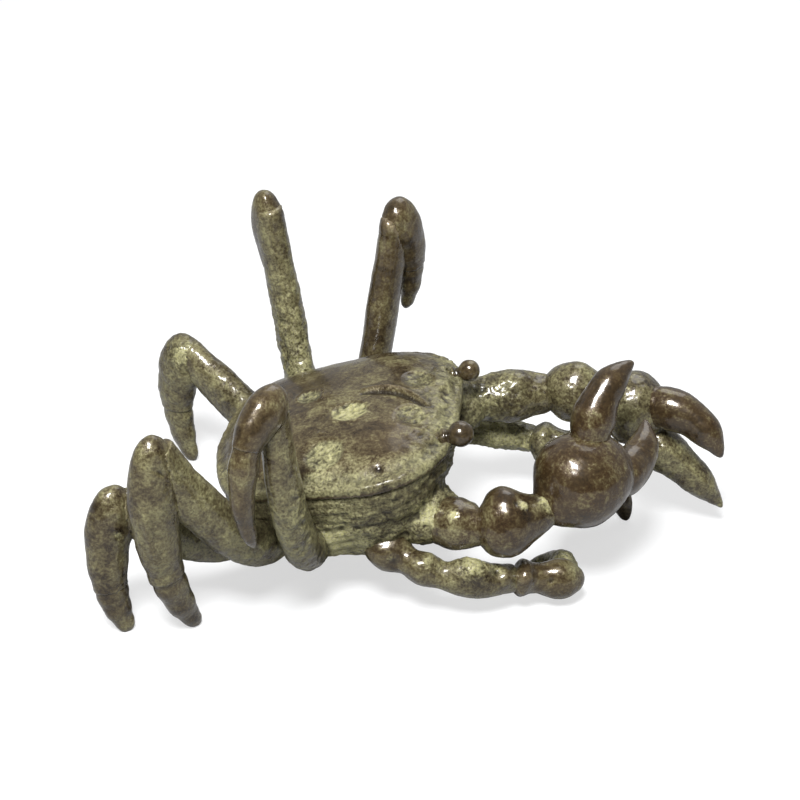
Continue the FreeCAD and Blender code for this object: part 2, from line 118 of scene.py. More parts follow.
# How fine each layer of the patina's mottling is, from broad clouds to dust.
CLOUDS = 130
BLOTCHES = 430
GRIT = 2400
DUST = 6500


def casting(node, grain, passes=3):
    """A merged copy of a solid, meshed again to an even grain and smoothed for working."""
    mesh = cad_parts[node].data.copy()
    form = bmesh.new()
    form.from_mesh(mesh)
    bmesh.ops.remove_doubles(form, verts=form.verts, dist=grain / 100)
    form.to_mesh(mesh)
    form.free()
    piece = bpy.data.objects.new(f"cast_{node}", mesh)
    bpy.context.scene.collection.objects.link(piece)
    remesh = piece.modifiers.new("grain", "REMESH")
    remesh.mode = "VOXEL"
    remesh.voxel_size = grain
    worked = piece.evaluated_get(bpy.context.evaluated_depsgraph_get())
    even = bpy.data.meshes.new_from_object(worked)
    piece.modifiers.clear()
    piece.data = even
    form = bmesh.new()
    form.from_mesh(even)
    for _ in range(passes):
        bmesh.ops.smooth_vert(form, verts=form.verts, factor=0.5,
                              use_axis_x=True, use_axis_y=True, use_axis_z=True)
    form.to_mesh(even)
    form.free()
    return piece


def places(piece):
    points = np.empty(len(piece.data.vertices) * 3)
    piece.data.vertices.foreach_get("co", points)
    return points.reshape(-1, 3)


def directions(piece):
    out = np.empty(len(piece.data.vertices) * 3)
    piece.data.vertex_normals.foreach_get("vector", out)
    return out.reshape(-1, 3)


def push(piece, amounts):
    """Moves each point along its normal, the way wax is built up or scraped away."""
    moved = places(piece) + directions(piece) * amounts[:, None]
    piece.data.vertices.foreach_set("co", moved.ravel())
    piece.data.update()


def ramp(values, low, high):
    share = np.clip((values - low) / (high - low), 0, 1)
    return share * share * (3 - 2 * share)


def roughness_of(points, size, octaves=3, offset=0.0):
    """Soft noise between about -1 and 1, with lumps of the given size in metres."""
    scaled = points / size + offset
    return np.array([noise.fractal(Vector(point), 1.0, 2.0, octaves) for point in scaled])


def lump(points, centre, radius, height):
    """A soft swelling, or with a negative height a dent, round a point given in mm."""
    away = np.linalg.norm(points - np.array(centre) * MM, axis=1) / (radius * MM)
    return height * MM * np.exp(-away ** 2)


def ridge(points, line, radius, height):
    """A raised or engraved line that fades at both ends, through three points in mm."""
    start, middle, end = (np.array(point) * MM for point in line)
    best = np.full(len(points), np.inf)
    fade = np.zeros(len(points))
    for along in np.linspace(0, 1, 33):
        back = 1 - along
        point = start * back ** 2 + middle * 2 * back * along + end * along ** 2
        away = np.linalg.norm(points - point, axis=1)
        closer = away < best
        best[closer] = away[closer]
        fade[closer] = math.sin(math.pi * along) ** 0.5
    return height * MM * fade * np.exp(-(best / (radius * MM)) ** 2)


def spread(piece, values, passes):
    """Values of the points, averaged with those of their neighbours several times."""
    ends = np.empty(len(piece.data.edges) * 2, int)
    piece.data.edges.foreach_get("vertices", ends)
    first, second = ends.reshape(-1, 2).T
    total = len(piece.data.vertices)
    count = np.bincount(first, minlength=total) + np.bincount(second, minlength=total)
    for _ in range(passes):
        for column in range(values.shape[1]):
            near = (np.bincount(first, values[second, column], total)
                    + np.bincount(second, values[first, column], total))
            values[:, column] = (values[:, column] + near / count) / 2
    return values


def note(piece, name, values):
    """Keeps a value of each point with the mesh, for its finish to read."""
    layer = piece.data.attributes.new(name, "FLOAT", "POINT")
    layer.data.foreach_set("value", np.asarray(values, np.float32))


def near_patches(points, patches):
    """Sum of soft patches, each a place and reach in mm and a strength."""
    total = np.zeros(len(points))
    for centre, reach, strength in patches:
        away = np.linalg.norm(points - np.array(centre) * MM, axis=1) / (reach * MM)
        total += strength * np.exp(-away ** 2)
    return total


neighbours = {}


def fill_joints(piece, node):
    """Builds up the edges where this casting meets the next, as braze fills a joint."""
    reach = Vector((JOINT_REACH,) * 3)
    low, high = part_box(node)
    points = places(piece)
    nearest = np.full(len(points), JOINT_REACH)
    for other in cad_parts:
        if other == node:
            continue
        other_low, other_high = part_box(other)
        if any(low[axis] > other_high[axis] + JOINT_REACH
               or other_low[axis] > high[axis] + JOINT_REACH for axis in range(3)):
            continue
        if other not in neighbours:
            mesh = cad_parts[other].data
            neighbours[other] = BVHTree.FromPolygons(
                [vertex.co for vertex in mesh.vertices],
                [polygon.vertices for polygon in mesh.polygons])
        close = np.flatnonzero(((points > np.array(other_low - reach))
                                & (points < np.array(other_high + reach))).all(1))
        for index in close:
            found = neighbours[other].find_nearest(Vector(points[index]), nearest[index])
            if found[0] is not None:
                nearest[index] = min(nearest[index], found[3])
    push(piece, JOINT_FILL * (1 - nearest / JOINT_REACH))


def finish_casting(piece, node, material, verdigris, crust, grain):
    """Notes where the piece is green, crusted and hollow, and puts it in place."""
    fill_joints(piece, node)
    points = np.clip(places(piece), np.array(cad_box[0]), np.array(cad_box[1]))
    piece.data.vertices.foreach_set("co", points.ravel())
    piece.data.update()
    hollow = ((spread(piece, points.copy(), HOLLOW_ROUNDS) - points) * directions(piece)).sum(1) / grain
    note(piece, "hollow", hollow)
    note(piece, "verdigris", np.clip(verdigris, 0, 1.2))
    note(piece, "crust", np.clip(crust, 0, 1.2))
    for polygon in piece.data.polygons:
        polygon.use_smooth = True
    piece.data.materials.clear()
    piece.data.materials.append(material)
    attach(piece, "root")
    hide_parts(node)


def add(tree, kind, sockets=(), **settings):
    """A shader node with its settings, its sockets set to values or joined to outputs."""
    step = tree.nodes.new("ShaderNode" + kind)
    for name, value in settings.items():
        setattr(step, name, value)
    for socket, value in dict(sockets).items():
        if isinstance(value, bpy.types.NodeSocket):
            tree.links.new(value, step.inputs[socket])
        else:
            step.inputs[socket].default_value = value
    return step


def blend_colours(tree, share, first, second):
    return add(tree, "Mix", {0: share, 6: first, 7: second}, data_type="RGBA").outputs[2]


def reckon(tree, operation, *values, clamp=False):
    sockets = dict(enumerate(values))
    return add(tree, "Math", sockets, operation=operation, use_clamp=clamp).outputs[0]


def graded(tree, value, low, high, start=0.0, end=1.0):
    sockets = {"Value": value, "From Min": low, "From Max": high,
               "To Min": start, "To Max": end}
    return add(tree, "MapRange", sockets, interpolation_type="SMOOTHSTEP").outputs[0]


def patina_group():
    """Brown patinated bronze under olive verdigris and pale crust, where the masks say; hollows get
    painted shade and proud edges a painted highlight.
    """
    tree = bpy.data.node_groups.new("patina", "ShaderNodeTree")
    for name, kind in (("Place", "NodeSocketVector"), ("Verdigris", "NodeSocketFloat"),
                       ("Crust", "NodeSocketFloat"), ("Hollow", "NodeSocketFloat"),
                       ("Warmth", "NodeSocketFloat")):
        tree.interface.new_socket(name, in_out="INPUT", socket_type=kind)
    for name, kind in (("Colour", "NodeSocketColor"), ("Roughness", "NodeSocketFloat"),
                       ("Metal", "NodeSocketFloat"), ("Shine", "NodeSocketFloat"),
                       ("Height", "NodeSocketFloat")):
        tree.interface.new_socket(name, in_out="OUTPUT", socket_type=kind)
    given = tree.nodes.new("NodeGroupInput").outputs
    result = tree.nodes.new("NodeGroupOutput")

    def mottle(scale, detail, distortion=0.0):
        sockets = {"Vector": given["Place"], "Scale": scale, "Detail": detail,
                   "Roughness": 0.62, "Distortion": distortion}
        return graded(tree, add(tree, "TexNoise", sockets).outputs["Fac"], 0.3, 0.7)

    def swing(value, amount):
        """The value's swing to both sides of a half, times an amount."""
        return reckon(tree, "MULTIPLY", reckon(tree, "SUBTRACT", value, 0.5), amount)

    clouds = mottle(CLOUDS, 3, 0.5)
    blotches = mottle(BLOTCHES, 5, 0.8)
    grit = mottle(GRIT, 4, 0.4)
    dust = mottle(DUST, 2)
    proud = graded(tree, given["Hollow"], -0.2, -1.6)
    sunk = graded(tree, given["Hollow"], -0.1, 0.5)
    drift = reckon(tree, "ADD", swing(clouds, 0.5), swing(blotches, 0.45))

    warm = reckon(tree, "ADD", swing(clouds, 0.8), given["Warmth"], clamp=True)
    tone = reckon(tree, "ADD", reckon(tree, "MULTIPLY_ADD", drift, 1.1, 0.66), swing(grit, 0.35),
                  clamp=True)
    brown = blend_colours(tree, warm, BROWN, WARM_BROWN)
    brown = blend_colours(tree, tone, UMBER, brown)
    # Proud edges turn to rubbed bronze: partly real wear, partly a painted highlight.
    wear_and_highlight = reckon(tree, "MULTIPLY", proud, reckon(tree, "MULTIPLY_ADD", blotches, 0.5, 0.1))
    brown = blend_colours(tree, wear_and_highlight, brown, RUBBED_AND_HIGHLIGHT)

    cover = reckon(tree, "ADD", reckon(tree, "ADD", given["Verdigris"], drift), swing(grit, 0.35))
    mask = graded(tree, cover, -0.1, 1.15)
    shade = reckon(tree, "ADD", swing(grit, 0.6), reckon(tree, "MULTIPLY_ADD", drift, 0.5, 0.58),
                   clamp=True)
    green = blend_colours(tree, shade, DARK_OLIVE, OLIVE)
    crusty = reckon(tree, "ADD", given["Crust"],
                    reckon(tree, "ADD", swing(blotches, 0.3), swing(grit, 0.35)))
    crust_mask = graded(tree, crusty, 0.15, 0.9)
    pale = blend_colours(tree, dust, YELLOW_GREEN, PALE_CRUST)

    surface = blend_colours(tree, reckon(tree, "MULTIPLY", mask, 0.95), brown, green)
    surface = blend_colours(tree, reckon(tree, "MULTIPLY", crust_mask, 0.85), surface, pale)
    pits = reckon(tree, "MULTIPLY", graded(tree, grit, 0.25, 0.0), 0.6)
    pits = reckon(tree, "MULTIPLY", pits, reckon(tree, "MULTIPLY_ADD", mask, 0.7, 0.2))
    # Random pits, and painted shade in the hollows, darken the surface towards umber.
    pits_and_shade = reckon(tree, "MAXIMUM", pits, reckon(tree, "MULTIPLY", sunk, 0.85))
    surface = blend_colours(tree, pits_and_shade, surface, UMBER)
    dull = reckon(tree, "MAXIMUM", reckon(tree, "MULTIPLY", mask, 0.8), crust_mask)
    outputs = {"Colour": surface,
               "Roughness": reckon(tree, "MULTIPLY_ADD", reckon(tree, "MULTIPLY", dull, dull), 0.2,
                                   reckon(tree, "MULTIPLY_ADD", blotches, 0.1, 0.26)),
               "Metal": reckon(tree, "MULTIPLY_ADD", dull, -0.2, 0.25),
               "Shine": reckon(tree, "MULTIPLY_ADD", crust_mask, -0.8,
                               reckon(tree, "MULTIPLY_ADD", mask, -0.35, 1.0), clamp=True),
               "Height": reckon(tree, "ADD",
                                reckon(tree, "MULTIPLY", grit,
                                       reckon(tree, "MULTIPLY_ADD", dull, 0.9, 0.12)),
                                reckon(tree, "MULTIPLY", blotches, 0.25))}
    for name, value in outputs.items():
        tree.links.new(value, result.inputs[name])
    return tree


patina = patina_group()


def bronze(name, warmth=0.0, coat=0.5, relief=0.1 * MM):
    material = bpy.data.materials.new(name)
    material.use_nodes = True
    tree = material.node_tree
    tree.nodes.clear()
    finish = tree.nodes.new("ShaderNodeGroup")
    finish.node_tree = patina
    tree.links.new(add(tree, "TexCoord").outputs["Object"], finish.inputs["Place"])
    for layer in ("verdigris", "crust", "hollow"):
        mask = add(tree, "Attribute", attribute_name=layer).outputs["Fac"]
        tree.links.new(mask, finish.inputs[layer.capitalize()])
    finish.inputs["Warmth"].default_value = warmth
    bump = add(tree, "Bump", {"Height": finish.outputs["Height"], "Strength": 0.7,
                              "Distance": relief})
    shine = reckon(tree, "MULTIPLY", finish.outputs["Shine"], coat)
    shader = add(tree, "BsdfPrincipled",
                 {"Base Color": finish.outputs["Colour"], "Metallic": finish.outputs["Metal"],
                  "Roughness": finish.outputs["Roughness"], "Normal": bump.outputs[0],
                  "Specular IOR Level": 0.25, "Coat Weight": shine, "Coat Roughness": 0.13})
    out = add(tree, "OutputMaterial")
    tree.links.new(shader.outputs[0], out.inputs["Surface"])
    return material


def shell_places(points):
    """Places in the shell's own tilted frame: forward, to its left, and up."""
    turn = np.array(Matrix.Rotation(SHELL_PITCH, 3, "Y"))
    return (points - SHELL_SEAT) @ turn


def from_rim(local):
    """How far inside the outline of the shell's plan each point lies."""
    angle = np.arctan2(local[:, 1], local[:, 0])
    radius = np.hypot(local[:, 0], local[:, 1])
    sectors = 90
    sector = ((angle + math.pi) / (2 * math.pi) * sectors).astype(int) % sectors
    outline = np.zeros(sectors)
    np.maximum.at(outline, sector, radius)
    middles = (np.arange(sectors) + 0.5) / sectors * 2 * math.pi - math.pi
    return np.interp(angle, middles, outline, period=2 * math.pi) - radius


carapace = casting("carapace", SHELL_GRAIN)
points = places(carapace)
local = shell_places(points)
inside = from_rim(local)
facing_up = ramp(directions(carapace)[:, 2], 0.1, 0.5)
outer = ramp(local[:, 2], 0.6 * MM, 1.0 * MM) * facing_up
front = ramp(local[:, 0], 0.28 * SHELL_LENGTH, 0.44 * SHELL_LENGTH)
near_rim = ramp(inside, 4.6 * MM, 1.2 * MM)
shape = outer * RIM_BEAD * MM * np.exp(-((inside - 0.6 * MM) / (0.4 * MM)) ** 2)
shape -= outer * RIM_GROOVE_DEPTH * MM * np.exp(-((inside - 1.7 * MM) / (0.6 * MM)) ** 2)
shape += ridge(points, CREASE, CREASE_WIDTH, CREASE_HEIGHT)
lower_crease = [[x, y - 1.0, z] for x, y, z in CREASE]
shape += ridge(points, lower_crease, CREASE_WIDTH, -CREASE_DEPTH)
shape += outer * front * roughness_of(points, 1.3 * MM, 3) * BROW_ROUGHNESS * MM
shape += outer * roughness_of(points, 6.0 * MM, 2) * SHELL_UNEVENNESS * MM
shape += outer * near_rim * roughness_of(points, 1.6 * MM, 3, 5.0) * RIM_ROUGHNESS * MM
for centre, radius, height in SHELL_LUMPS:
    shape += lump(points, centre, radius, height)
in_spot = np.zeros(len(points))
spot_green = np.zeros(len(points))
spot_crust = np.zeros(len(points))
for spot, centre in SPOT_PLACES.items():
    away = np.linalg.norm(points - np.array(centre) * MM, axis=1) / (SPOT_REACH[spot] * MM)
    edge = away + roughness_of(points, 1.5 * MM, 2, 3.0) * 0.12
    there = ramp(edge, 1.12, 0.86)
    in_spot = np.maximum(in_spot, there)
    spot_green = np.maximum(spot_green, there * SPOT_GREENS[spot])
    spot_crust = np.maximum(spot_crust, there * SPOT_CRUSTS[spot])
    shape += outer * SPOT_LIP * MM * np.exp(-((away - 1.15) / 0.16) ** 2)
spot_relief = roughness_of(points, 0.8 * MM, 3, 9.0) * SPOT_ROUGHNESS + SPOT_FILLING
shape += in_spot * outer * spot_relief * MM
push(carapace, shape)
near_side = ramp(local[:, 1], 0.15 * SHELL_WIDTH, -0.4 * SHELL_WIDTH)
band = ramp(inside + roughness_of(points, 3.0 * MM, 2, 7.0) * 1.2 * MM, 4.0 * MM, 1.2 * MM)
green = SHELL_GREEN + RIM_GREEN * band * (0.3 + 0.7 * near_side) + FRONT_GREEN * front + spot_green
green += near_patches(points, SHELL_GREENS)
crust = spot_crust + near_patches(points, SHELL_CRUSTS)
crust += RIM_CRUST * band * near_side * (0.6 + roughness_of(points, 3.0 * MM, 3, 2.0))
below = local[:, 2] < 0.5 * MM
green = np.where(below, UNDERSIDE_GREEN, green)
crust = np.where(below, 0.0, crust)
shell_bronze = bronze("shell_bronze", warmth=0.12, coat=0.5)
finish_casting(carapace, "carapace", shell_bronze, green, crust, SHELL_GRAIN)

# Underbody
# The deep body casting under the shell carries every limb in a socket. It was left as it
# came from the mould: ribbed along its sides, lumpy at the limb roots, and crusted with
# verdigris nearly all over.
BODY_GRAIN = 0.35 * MM
ROOT_REACH = 4.4
ROOT_SWELLING = 0.5
RIB_STRETCH = 7
RIB_HEIGHT = 0.22
BODY_UNEVENNESS = 0.3
BODY_GREEN = 0.75
BODY_CRUST = 0.05
# Pale crust gathers above the front leg's root and round the near claw's shoulder.
BODY_CRUSTS = [((-9.0, -18.5, 13.5), 6.0, 0.4), ((-10.3, -17.4, 12.0), 3.0, 0.65),
               ((-14.0, -17.8, 13.0), 3.0, 0.3),
               ((1.5, -16.5, 17.8), 2.2, 0.75), ((-1.5, -17.5, 15.0), 2.4, 0.35),
               ((-10.3, -19.8, 17.5), 3.0, 0.12), ((4.5, -14.8, 20.5), 2.0, 0.3)]
LIMB_ROOTS = [f"leg_{side}_{number}_upper" for side in ("right", "left")
              for number in (1, 2, 3, 4)] + ["claw_right_arm", "claw_left_arm"]


def root_of(node):
    """Where a limb leaves the body: the middle of its points nearest the body's axis."""
    low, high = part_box("underbody")
    middle = np.array((low + high) / 2)
    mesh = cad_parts[node].data
    points = np.empty(len(mesh.vertices) * 3)
    mesh.vertices.foreach_get("co", points)
    points = points.reshape(-1, 3)
    away = np.linalg.norm((points - middle) * [0.6, 1, 1], axis=1)
    return points[away <= np.quantile(away, 0.12)].mean(0)


roots = {node: root_of(node) for node in LIMB_ROOTS}
underbody = casting("underbody", BODY_GRAIN)
points = places(underbody)
local = shell_places(points)
stretched = np.column_stack([local[:, 0] / RIB_STRETCH, local[:, 1] / RIB_STRETCH, local[:, 2]])
shape = roughness_of(stretched, 0.9 * MM, 3) * RIB_HEIGHT * MM
shape += roughness_of(points, 2.2 * MM, 4, 2.0) * BODY_UNEVENNESS * MM
shape *= ramp(local[:, 2], -0.2 * MM, -1.2 * MM)
at_front = ramp(local[:, 0], 0.2 * SHELL_LENGTH, 0.42 * SHELL_LENGTH)
front_roughness = roughness_of(points, 1.2 * MM, 3, 8.0) * BODY_UNEVENNESS * MM
shape += at_front * front_roughness * (local[:, 2] < -0.6 * MM)
swelling = np.zeros(len(points))
for centre in roots.values():
    away = np.linalg.norm(points - centre, axis=1) / (ROOT_REACH * MM)
    swelling = np.maximum(swelling, np.exp(-away ** 4))
shape += swelling * ramp(local[:, 2], -1.0 * MM, -3.5 * MM) * ROOT_SWELLING * MM
push(underbody, shape)
green = BODY_GREEN + 0.12 * roughness_of(points, 4.0 * MM, 2, 4.0)
crust = BODY_CRUST + near_patches(points, BODY_CRUSTS)
body_bronze = bronze("body_bronze", coat=0.2, relief=0.16 * MM)
finish_casting(underbody, "underbody", body_bronze, green, crust, BODY_GRAIN)

# Eyes
# Each eye is a small turned ball on a collared stalk, let into a bore in the brow and
# polished by handling to a dark shine.
EYE_GRAIN = 0.12 * MM
EYE_STALK = 3.2 * MM
EYE_WEAR = {"eye_right": 0.0, "eye_left": 0.25 * MM}
eye_bronze = bronze("eye_bronze", warmth=-0.3, coat=0.9, relief=0.04 * MM)
for node in ("eye_right", "eye_left"):
    eye = casting(node, EYE_GRAIN, 2)
    points = places(eye)
    low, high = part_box(node)
    back = ramp(points[:, 0], low.x + EYE_STALK, low.x)
    push(eye, roughness_of(points, 1.5 * MM, 2) * 0.05 * MM - EYE_WEAR[node])
    finish_casting(eye, node, eye_bronze, 0.6 * back, 0.1 * back, EYE_GRAIN)

# Walking legs
# Six legs in three castings each: an upper limb let into the body, a lower limb with its
# knuckle round the upper's end, and a claw-like tip. They are glossy brown where hands
# rub them, and greener towards the body.
LEG_GRAIN = 0.25 * MM
# For each casting: how green it is near the body and how green at its far end.
LEG_GREENS = {
    "right_2_upper": (0.7, 0.3), "right_2_lower": (0.1, -0.05), "right_2_tip": (0.0, 0.1),
    "right_3_upper": (0.6, 0.4), "right_3_lower": (0.35, 0.35), "right_3_tip": (0.35, 0.2),
    "right_4_upper": (0.6, 0.4), "right_4_lower": (0.35, 0.35), "right_4_tip": (0.35, 0.3),
    "left_2_upper": (0.5, -0.1), "left_2_lower": (0.05, 0.0), "left_2_tip": (0.2, 0.2),
    "left_3_upper": (0.85, 0.4), "left_3_lower": (0.25, 0.2), "left_3_tip": (0.2, 0.2),
    "left_4_upper": (0.7, 0.35), "left_4_lower": (0.45, 0.55), "left_4_tip": (0.5, 0.4),
}
# Knobs, dents and tool-drawn ridges that single castings have: place or line, and size.
LEG_LUMPS = {
    "left_2_upper": [((-8.2, 24.0, 42.6), 1.5, 0.5), ((-8.0, 22.5, 35.0), 9.0, 0.25)],
    "left_3_upper": [((-26.5, 24.5, 41.0), 7.0, 0.35), ((-25.0, 23.0, 29.0), 7.0, 0.25)],
    "right_2_tip": [((-21.2, -32.5, 32.5), 3.6, 0.3)],
    "right_3_lower": [((-33.9, -29.2, 33.0), 0.8, 0.2)],
    "right_4_lower": [((-40.8, -26.8, 17.1), 1.2, 0.2), ((-40.6, -26.4, 21.0), 0.8, 0.25)],
}
LEG_RIDGES = {
    "right_3_lower": [([(-35.8, -31.4, 25.5), (-35.6, -31.2, 20.0), (-34.6, -30.0, 14.2)],
                       0.45, 0.32),
                      ([(-36.6, -29.4, 31.5), (-35.0, -30.6, 32.0), (-32.8, -29.6, 29.5)],
                       0.35, -0.3)],
}
LEG_PATCHES = {
    "right_2_upper": [((-15.5, -26.5, 22.0), 4.0, 0.25)],
    "left_4_lower": [((-40.5, 19.0, 21.0), 2.6, 0.5)],
    "right_4_lower": [((-40.8, -26.8, 17.6), 0.9, 0.4)],
}
LEG_CRUSTS = {
    "right_2_upper": [((-15.0, -26.5, 24.0), 2.0, 0.3), ((-14.5, -26.0, 17.0), 2.0, 0.25)],
    "right_3_upper": [((-24.0, -20.0, 13.5), 3.0, 0.3)],
    "right_3_lower": [((-33.2, -29.4, 29.0), 1.4, 0.25)],
    "left_3_upper": [((-22.5, 20.0, 24.0), 6.0, 0.35), ((-23.5, 21.0, 31.0), 3.0, 0.2)],
    "left_2_upper": [((-8.0, 21.0, 25.0), 4.0, 0.15)],
    "left_4_lower": [((-40.5, 19.0, 21.0), 1.8, 0.35)],
    "right_4_lower": [((-40.8, -26.8, 17.6), 0.7, 0.5)],
}
leg_bronze = bronze("leg_bronze", coat=0.8)


def along_limb(points, node):
    """Share of the way from the body outwards, by distance from the limb's own root."""
    away = np.linalg.norm(points - roots[node], axis=1)
    return (away - away.min()) / (away.max() - away.min())


def work_limb(node, greens, material, lumps, ridges, patches, crusts, unevenness=0.1):
    """Meshes a limb casting again, gives it its unevenness and marks, and finishes it."""
    limb = casting(node, LEG_GRAIN)
    points = places(limb)
    key = node.split("_", 1)[1]
    root = next(name for name in LIMB_ROOTS if node.rsplit("_", 1)[0] in name)
    near, far = greens[key]
    green = near + (far - near) * along_limb(points, root) + near_patches(points, patches.get(key, ()))
    crust = near_patches(points, crusts.get(key, ())) + 0.35 * ramp(green, 0.45, 1.0) - 0.05
    shape = roughness_of(points, 5.0 * MM, 2, 1.0) * unevenness * MM
    rough = 0.05 + 0.2 * ramp(green + crust, 0.2, 1.0)
    shape += roughness_of(points, 1.3 * MM, 3, 6.0) * rough * MM
    for centre, radius, height in lumps.get(key, ()):
        shape += lump(points, centre, radius, height)
    for line, radius, height in ridges.get(key, ()):
        shape += ridge(points, line, radius, height)
    push(limb, shape)
    finish_casting(limb, node, material, green, crust, LEG_GRAIN)


for key in LEG_GREENS:
    work_limb(f"leg_{key}", LEG_GREENS, leg_bronze, LEG_LUMPS, LEG_RIDGES, LEG_PATCHES,
              LEG_CRUSTS)

# Front legs
# The first pair of legs lies forward under the claws. Each is a string of beads, pinched
# between them, and ends in a rounded, folded tip.
FRONT_GREENS = {
    "right_1_upper": (0.2, 0.35), "right_1_lower": (0.1, 0.05), "right_1_tip": (0.5, 0.5),
    "left_1_upper": (0.9, 0.9), "left_1_lower": (0.8, 0.3), "left_1_tip": (0.2, 0.1),
}
FRONT_LUMPS = {
    "right_1_upper": [((-5.7, -17.0, 10.6), 2.3, 1.3), ((-2.9, -18.5, 9.8), 1.0, -0.5),
                      ((0.2, -19.2, 9.6), 2.0, 0.6), ((4.2, -18.6, 9.2), 1.3, -0.4),
                      ((8.2, -17.6, 9.9), 2.6, 1.3), ((11.6, -17.2, 8.0), 0.9, -0.5),
                      ((13.4, -16.9, 7.2), 1.3, 0.7)],
    "right_1_lower": [((16.0, -15.9, 6.8), 1.5, 0.8), ((16.0, -14.0, 5.5), 2.0, 0.5),
                      ((19.9, -14.9, 5.6), 0.6, -0.3)],
    "left_1_upper": [((14.5, 14.6, 11.2), 2.0, -0.2)],
    "left_1_lower": [((17.0, 15.0, 11.0), 3.0, 1.1)],
}
FRONT_RIDGES = {
    "right_1_lower": [([(18.2, -14.6, 7.4), (18.6, -15.4, 5.6), (18.4, -14.8, 3.6)],
                       0.3, 0.12)],
}
FRONT_PATCHES = {
    "right_1_upper": [((8.2, -17.6, 9.8), 3.2, 0.5), ((2.0, -19.0, 10.0), 2.0, 0.2)],
    "right_1_lower": [((24.0, -13.0, 7.6), 2.0, 0.5)],
    "right_1_tip": [((21.7, -9.8, 6.6), 3.0, 0.4)],
}
FRONT_CRUSTS = {
    "right_1_upper": [((8.6, -17.4, 10.2), 2.4, 0.75), ((3.0, -18.8, 9.8), 1.6, 0.4),
                      ((-3.2, -18.2, 10.4), 0.8, 0.4), ((12.0, -16.9, 8.4), 1.2, 0.5)],
    "right_1_tip": [((21.7, -9.8, 6.6), 2.4, 0.3)],
    "left_1_upper": [((10.7, 14.4, 11.6), 5.0, 0.5)],
}
for key in FRONT_GREENS:
    work_limb(f"leg_{key}", FRONT_GREENS, leg_bronze, FRONT_LUMPS, FRONT_RIDGES,
              FRONT_PATCHES, FRONT_CRUSTS, 0.14)

# Claws
# Each claw is an arm, a wrist, a swollen palm cast in one with its fixed finger, and a
# second finger brazed on top. The palms are the most handled part of the figure and the
# glossiest.
CLAW_GREENS = {
    "right_arm": (0.45, 0.1), "right_wrist": (0.05, 0.12), "right_palm": (-0.3, -0.4),
    "right_finger": (-0.2, -0.3),
    "left_arm": (0.6, 0.45), "left_wrist": (0.5, 0.4), "left_palm": (0.5, 0.5),
    "left_finger": (0.15, -0.1),
}
CLAW_LUMPS = {
    "right_arm": [((5.8, -16.9, 17.4), 1.2, 0.3), ((4.0, -16.5, 15.0), 2.5, 0.35)],
    "right_wrist": [((12.4, -15.2, 20.0), 2.4, 0.4), ((14.4, -16.1, 19.5), 0.6, -0.4),
                    ((15.6, -15.9, 18.8), 0.8, 0.35), ((18.0, -13.4, 15.8), 2.6, 1.0)],
    "right_palm": [((21.0, -12.5, 15.6), 2.6, 0.5), ((29.5, -8.0, 19.5), 3.0, 0.8)],
    "left_arm": [((12.5, 12.0, 17.6), 3.2, 0.9), ((12.8, 13.2, 23.2), 1.8, 0.6),
                 ((16.3, 14.4, 23.0), 0.9, -0.3)],
    "left_wrist": [((22.5, 14.6, 24.0), 2.0, 0.6)],
}
CLAW_RIDGES = {
    "left_palm": [([(35.0, 8.7, 15.8), (40.1, 8.3, 11.6), (45.0, 9.5, 5.8)], 0.7, 0.35)],
    "right_wrist": [([(17.0, -12.2, 19.6), (18.2, -13.8, 17.4), (18.0, -13.0, 14.8)], 0.5, 0.35)],
}
CLAW_PATCHES = {
    "right_wrist": [((18.2, -13.0, 17.4), 2.0, 0.5), ((15.0, -15.0, 14.5), 2.4, 0.3)],
    "right_palm": [((20.2, -11.5, 18.0), 3.4, 0.3), ((25.0, -13.5, 14.5), 3.5, 0.12)],
    "left_arm": [((9.0, 11.5, 20.5), 5.0, 0.2)],
}
CLAW_CRUSTS = {
    # The arm's first crust patch sits on a knob: pale crust and a painted highlight.
    "right_arm": [((5.8, -16.9, 17.4), 0.9, 0.8), ((2.6, -15.6, 18.0), 1.6, 0.4)],
    # The wrist's first crust patch sits on a knob: pale crust and a painted highlight.
    "right_wrist": [((15.4, -15.9, 18.8), 0.8, 1.0), ((18.2, -13.2, 17.2), 1.3, 0.7),
                    ((10.6, -14.0, 13.6), 1.6, 0.3)],
    "right_palm": [((19.6, -12.0, 17.6), 1.6, 0.5), ((21.5, -7.5, 25.5), 1.5, 0.2)],
    "left_arm": [((10.0, 11.6, 21.0), 3.0, 0.22)],
    "left_wrist": [((20.0, 12.8, 21.0), 2.5, 0.15)],
    "left_palm": [((34.0, 8.7, 17.5), 3.0, 0.35)],
}
claw_bronze = bronze("claw_bronze", warmth=0.7, coat=0.9, relief=0.07 * MM)
for key in CLAW_GREENS:
    work_limb(f"claw_{key}", CLAW_GREENS, claw_bronze, CLAW_LUMPS, CLAW_RIDGES, CLAW_PATCHES,
              CLAW_CRUSTS, 0.08)

# Floor, light and camera
# The figure stands on a plain pale floor, lit by one soft lamp above and in front and a
# wide, weaker one behind, in a room that is dim in front and pale behind.
FLOOR_REACH = 3.0
# The floor's white as the camera sees it, and its grey for the light that it throws back.
FLOOR_SEEN = (0.86, 0.87, 0.88, 1)
FLOOR_THROWN = (0.34, 0.34, 0.34, 1)
GLOW_SHARE = 0.6
GLOW_LEVEL = 1.06
